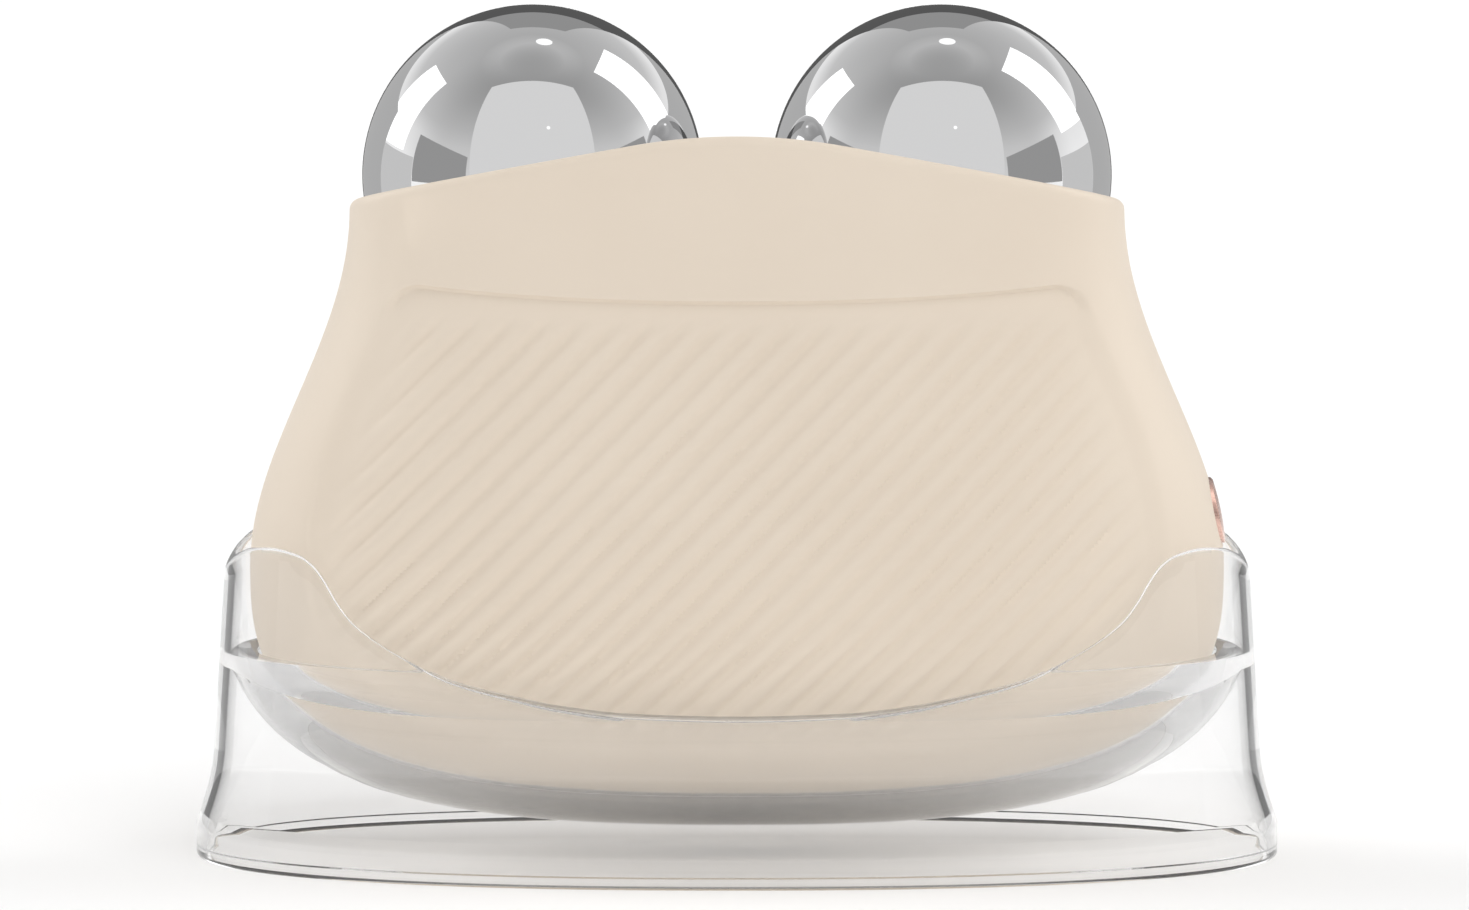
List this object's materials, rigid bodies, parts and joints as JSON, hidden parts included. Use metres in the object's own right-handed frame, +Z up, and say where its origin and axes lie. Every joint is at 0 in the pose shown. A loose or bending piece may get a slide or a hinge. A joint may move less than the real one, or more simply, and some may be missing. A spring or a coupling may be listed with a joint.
{
  "type": "facial toning device",
  "caption": "Handheld facial toning device with twin chrome electrode spheres and a ribbed grip, resting in a clear oval display stand.",
  "frame": {"origin": "centre of the display stand's foot, on the surface it rests on", "axes": "+Z up out of the stand; -Y towards the ribbed grip; +Y towards the power button; +X towards the flank with the boost button"},
  "size_m": [0.0828, 0.044, 0.0652],
  "materials": {
    "cream_plastic": "soft matte cream moulding",
    "chrome": "mirror chrome plating",
    "clear_plastic": "polished clear acrylic",
    "rose_metal": "rose-gold metallised plastic",
    "dark_rubber": "moulded silicone",
    "screw_steel": "zinc-plated steel",
    "brass": "stamped brass",
    "lead_jacket": "silicone wire jacket",
    "frame_plastic": "moulded engineering plastic",
    "board_green": "glass-epoxy circuit board",
    "component_black": "moulded component case",
    "led_white": "LED package",
    "lens_white": "translucent light guide",
    "battery_foil": "foil pouch",
    "foam": "closed-cell foam",
    "port_steel": "plated steel shell"
  },
  "bodies": {
    "stand": {"display_stand": "clear_plastic"},
    "device": {"rear_cover": "cream_plastic", "front_cover": "cream_plastic", "electrode_sphere_left": "chrome", "electrode_sphere_right": "chrome", "electrode_seal_left": "dark_rubber", "electrode_seal_right": "dark_rubber", "electrode_screw_left": "screw_steel", "electrode_screw_right": "screw_steel", "contact_tab_left": "brass", "contact_tab_right": "brass", "electrode_lead_left": "lead_jacket", "electrode_lead_right": "lead_jacket", "inner_frame": "frame_plastic", "frame_screws": "screw_steel", "board_screws": "screw_steel", "main_board": "board_green", "controller_chip": "component_black", "output_transformer": "component_black", "buzzer": "component_black", "indicator_leds": "led_white", "indicator_lens": "lens_white", "battery": "battery_foil", "battery_pad": "foam", "battery_leads": "lead_jacket", "charge_board": "board_green", "charge_port": "port_steel", "charge_leads": "lead_jacket", "power_button_bezel": "rose_metal", "power_switch": "component_black", "boost_switch": "component_black", "boost_leads": "lead_jacket"},
    "power_key": {"power_button": "cream_plastic", "power_switch_plunger": "component_black"},
    "boost_key": {"boost_button": "rose_metal", "boost_switch_plunger": "component_black"}
  },
  "joints": [
    {"name": "device_lift", "type": "slide", "parent": "stand", "child": "device", "axis": [0, 0, 1], "range_m": [0, 0.025]},
    {"name": "power_press", "type": "slide", "parent": "device", "child": "power_key", "axis": [0, -1, 0], "range_m": [0, 0.0008], "stiffness_N_per_m": 2500, "springref_m": -0.0002},
    {"name": "boost_press", "type": "slide", "parent": "device", "child": "boost_key", "axis": [-1, 0, 0], "range_m": [0, 0.0005], "stiffness_N_per_m": 2500, "springref_m": -0.0002}
  ]
}
